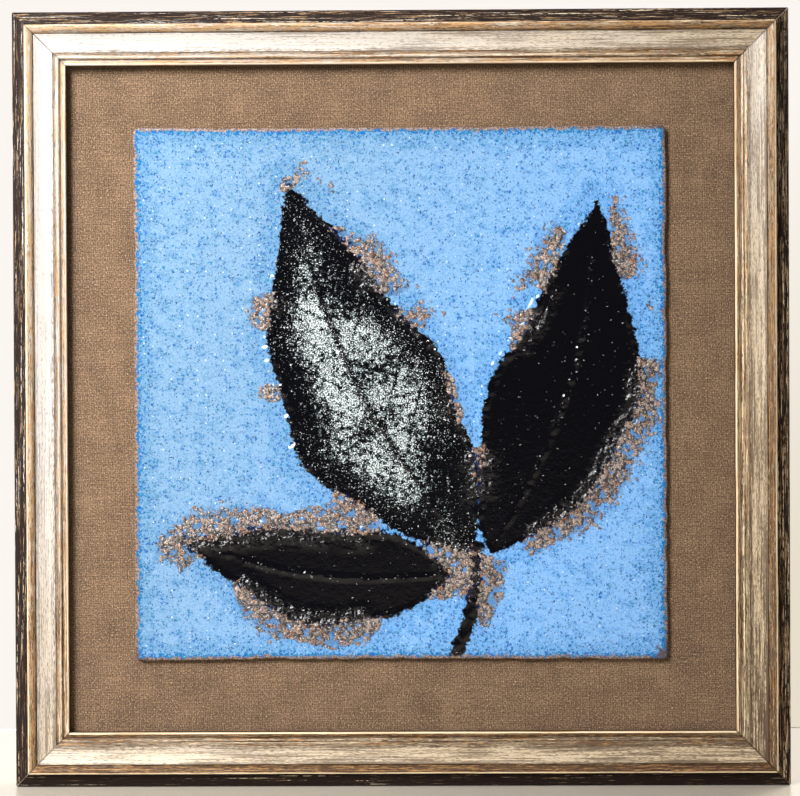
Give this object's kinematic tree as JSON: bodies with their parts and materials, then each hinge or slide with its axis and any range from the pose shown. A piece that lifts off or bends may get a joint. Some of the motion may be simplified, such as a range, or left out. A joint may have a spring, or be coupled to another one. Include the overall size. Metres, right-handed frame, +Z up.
{
  "type": "framed enamel panel",
  "caption": "Square enamelled metal panel bonded on a linen-faced board inside a mitred two-tone moulding frame, made to hang on a wall by a sawtooth hanger.",
  "frame": {"origin": "middle of the rear face of the sawtooth hanger's raised plate, where the object hangs", "axes": "+Y into the wall, +X to the viewer's right, +Z up"},
  "size_m": [0.291, 0.0214, 0.2909],
  "materials": {
    "moulding": "champagne-silver leaf with a gold-brown bead and a streaked near-black outer fascia, raw wood behind",
    "linen": "taupe linen bonded on hardboard",
    "enamel": "glossy vitreous enamel fused on sheet metal, speckled sky blue, black and grey-white with brown crust",
    "steel": "bright zinc-plated steel",
    "hanger": "brass-plated pressed strip"
  },
  "bodies": {
    "root": {"frame_top": "moulding", "frame_bottom": "moulding", "frame_left": "moulding", "frame_right": "moulding", "mount_board": "linen", "enamel_panel": "enamel", "board_point_top_1": "steel", "board_point_top_2": "steel", "board_point_bottom_1": "steel", "board_point_bottom_2": "steel", "board_point_left_1": "steel", "board_point_left_2": "steel", "board_point_right_1": "steel", "board_point_right_2": "steel", "sawtooth_hanger": "hanger", "hanger_nail_left": "steel", "hanger_nail_right": "steel"}
  },
  "joints": []
}
